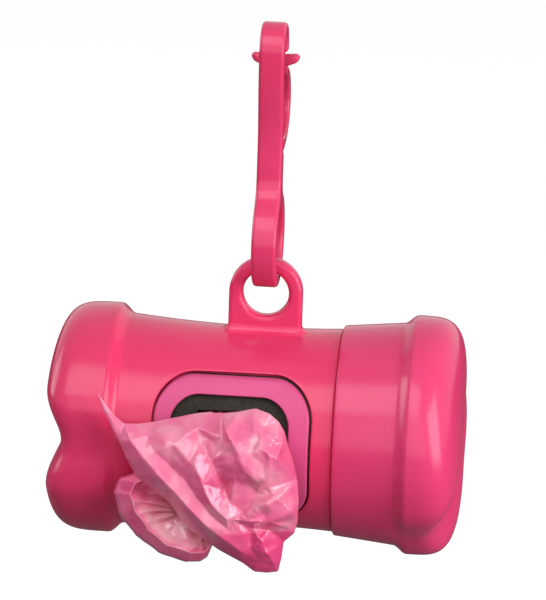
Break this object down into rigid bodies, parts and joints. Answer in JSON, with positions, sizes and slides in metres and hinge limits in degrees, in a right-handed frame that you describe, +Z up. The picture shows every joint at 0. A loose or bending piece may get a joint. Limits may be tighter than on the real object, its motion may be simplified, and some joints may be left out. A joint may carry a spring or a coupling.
{
  "type": "pet waste bag dispenser",
  "caption": "Bone-shaped dispenser for pet waste bags: tube with a slit window, pull-off cap, bag roll and a snap hook on its lug.",
  "frame": {"origin": "centre of the bend inside the hook's crown, where the hook hangs on a ring or strap", "axes": "+X along the casing towards the cap, +Z up along the hook, -Y out through the window"},
  "size_m": [0.083, 0.056, 0.1069],
  "materials": {
    "casing": "satin gloss, moulded",
    "cap": "satin gloss, moulded",
    "bezel": "matt, moulded",
    "membrane": "matt, finely textured",
    "card": "plain wound card",
    "film_roll": "wound film",
    "film": "thin crumpled film",
    "hook": "satin gloss, moulded",
    "gate": "satin gloss, moulded"
  },
  "bodies": {
    "hook": {"clip_hook": "hook"},
    "gate": {"clip_gate": "gate"},
    "case": {"casing": "casing", "window_bezel": "bezel", "slit_membrane": "membrane"},
    "cap": {"cap": "cap"},
    "roll": {"roll_core": "card", "bag_roll": "film_roll"},
    "bag": {"leading_bag": "film"}
  },
  "joints": [
    {"name": "gate_flex", "type": "hinge", "parent": "hook", "child": "gate", "pos_m": [0, 0.0018, -0.0195], "axis": [1, 0, 0], "range_deg": [0, 15], "stiffness_Nm_per_rad": 0.4},
    {"name": "case_swing", "type": "hinge", "parent": "hook", "child": "case", "pos_m": [0, 0, -0.0495], "axis": [0, 1, 0], "range_deg": [-75, 75]},
    {"name": "cap_pull", "type": "slide", "parent": "case", "child": "cap", "axis": [1, 0, 0], "range_m": [0, 0.03]},
    {"name": "bag_pull", "type": "slide", "parent": "case", "child": "bag", "axis": [0, -1, 0], "range_m": [0, 0.015]},
    {"name": "roll_spin", "type": "hinge", "parent": "case", "child": "roll", "pos_m": [0, 0, -0.0829], "axis": [1, 0, 0], "continuous": true}
  ],
  "couplings": [
    {"joint": "roll_spin", "follows": "bag_pull", "rad_per_m": 80}
  ]
}
